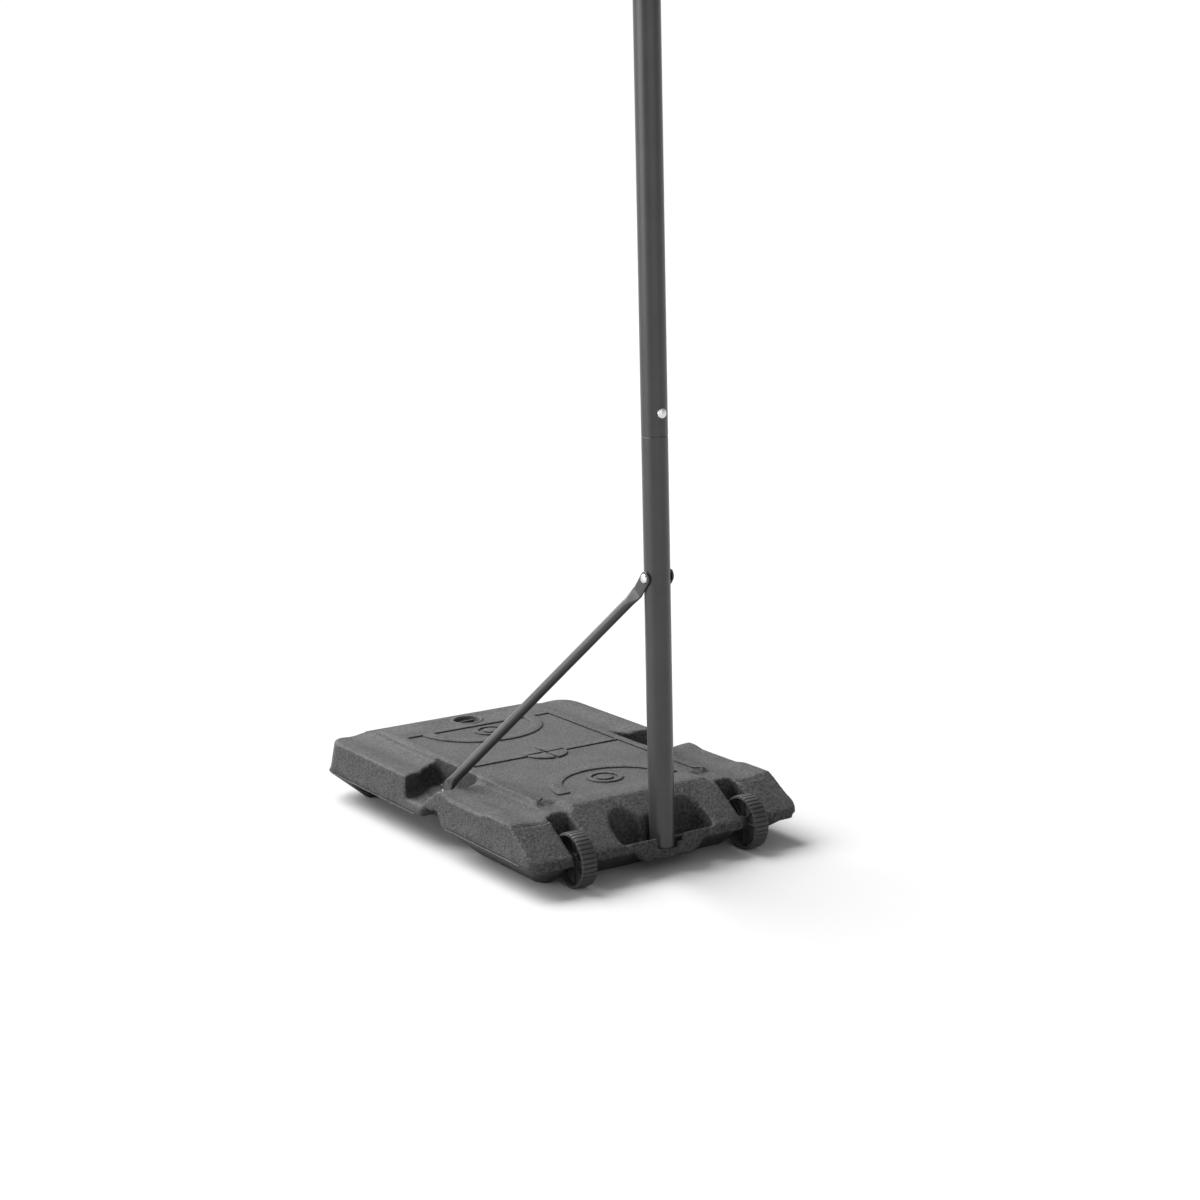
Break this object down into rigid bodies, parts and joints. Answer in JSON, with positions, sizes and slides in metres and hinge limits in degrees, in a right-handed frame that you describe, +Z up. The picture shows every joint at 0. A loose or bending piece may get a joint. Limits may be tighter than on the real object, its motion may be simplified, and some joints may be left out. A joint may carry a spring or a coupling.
{
  "type": "portable basketball hoop",
  "caption": "Wheeled basketball hoop: weighted moulded base, braced round pole, telescoping mast, backboard, fixed rim and net.",
  "frame": {"origin": "on the floor at the centre of the footprint", "axes": "+Z up along the pole, -Y towards the court, x = 0 is the plane of symmetry"},
  "size_m": [1.118, 1.9456, 3.633],
  "materials": {
    "tank_plastic": "blow-moulded, pebble grained",
    "ballast": "water ballast inside the tank, never seen",
    "soft_rubber": "matt",
    "cap_plastic": "moulded, satin",
    "wheel_plastic": "moulded, satin",
    "zinc_steel": "bright zinc plate",
    "black_steel": "black oxide",
    "powder_coat": "satin charcoal powder coat",
    "collar_plastic": "moulded, fine grain",
    "knob_plastic": "moulded, fine grain",
    "board_panel": "smooth pale moulded panel",
    "frame_plastic": "moulded, fine grain",
    "board_marking": "printed marking",
    "rim_paint": "orange powder coat",
    "net_cord": "white braided nylon cord"
  },
  "bodies": {
    "stand": {"base_tank": "tank_plastic", "ballast_fill": "ballast", "cap_gasket": "soft_rubber", "axle": "black_steel", "axle_retainer_left": "black_steel", "axle_retainer_right": "black_steel", "lower_pole": "powder_coat", "middle_pole": "powder_coat", "pole_joint_bolt": "zinc_steel", "pole_joint_nut": "zinc_steel", "pole_collar": "collar_plastic", "strut_left": "powder_coat", "strut_right": "powder_coat", "strut_bracket_left": "powder_coat", "strut_bracket_right": "powder_coat", "strut_foot_bolt_left": "zinc_steel", "strut_foot_bolt_right": "zinc_steel", "strut_foot_nut_left": "zinc_steel", "strut_foot_nut_right": "zinc_steel", "strut_top_bolt": "zinc_steel", "strut_top_nut": "black_steel"},
    "mast": {"upper_pole": "powder_coat", "guide_bushing": "collar_plastic", "pole_cap": "collar_plastic", "backboard_panel": "board_panel", "backboard_frame": "frame_plastic", "target_square": "board_marking", "lower_board_bracket": "powder_coat", "upper_board_bracket": "powder_coat", "bracket_cross_bolts": "zinc_steel", "bracket_cross_nuts": "zinc_steel", "board_bolts": "zinc_steel", "rim_ring": "rim_paint", "rim_bracket": "rim_paint", "rim_brace_left": "rim_paint", "rim_brace_right": "rim_paint", "net_hooks": "rim_paint", "rim_bolts": "zinc_steel", "rim_nuts": "zinc_steel", "net": "net_cord"},
    "wheel_left": {"wheel_left": "wheel_plastic"},
    "wheel_right": {"wheel_right": "wheel_plastic"},
    "cap": {"filler_cap": "cap_plastic"},
    "knob": {"clamp_knob": "knob_plastic"}
  },
  "joints": [
    {"name": "pole_height", "type": "slide", "parent": "stand", "child": "mast", "axis": [0, 0, 1], "range_m": [-0.762, 0]},
    {"name": "wheel_left_roll", "type": "hinge", "parent": "stand", "child": "wheel_left", "pos_m": [-0.2785, -0.2422, 0.076], "axis": [1, 0, 0], "continuous": true},
    {"name": "wheel_right_roll", "type": "hinge", "parent": "stand", "child": "wheel_right", "pos_m": [0.2785, -0.2422, 0.076], "axis": [1, 0, 0], "continuous": true},
    {"name": "filler_cap_lift", "type": "slide", "parent": "stand", "child": "cap", "axis": [0, 0, 1], "range_m": [0, 0.12]},
    {"name": "clamp_knob_turn", "type": "hinge", "parent": "stand", "child": "knob", "pos_m": [0, -0.1672, 2.324], "axis": [0, 1, 0], "range_deg": [0, 360]}
  ]
}
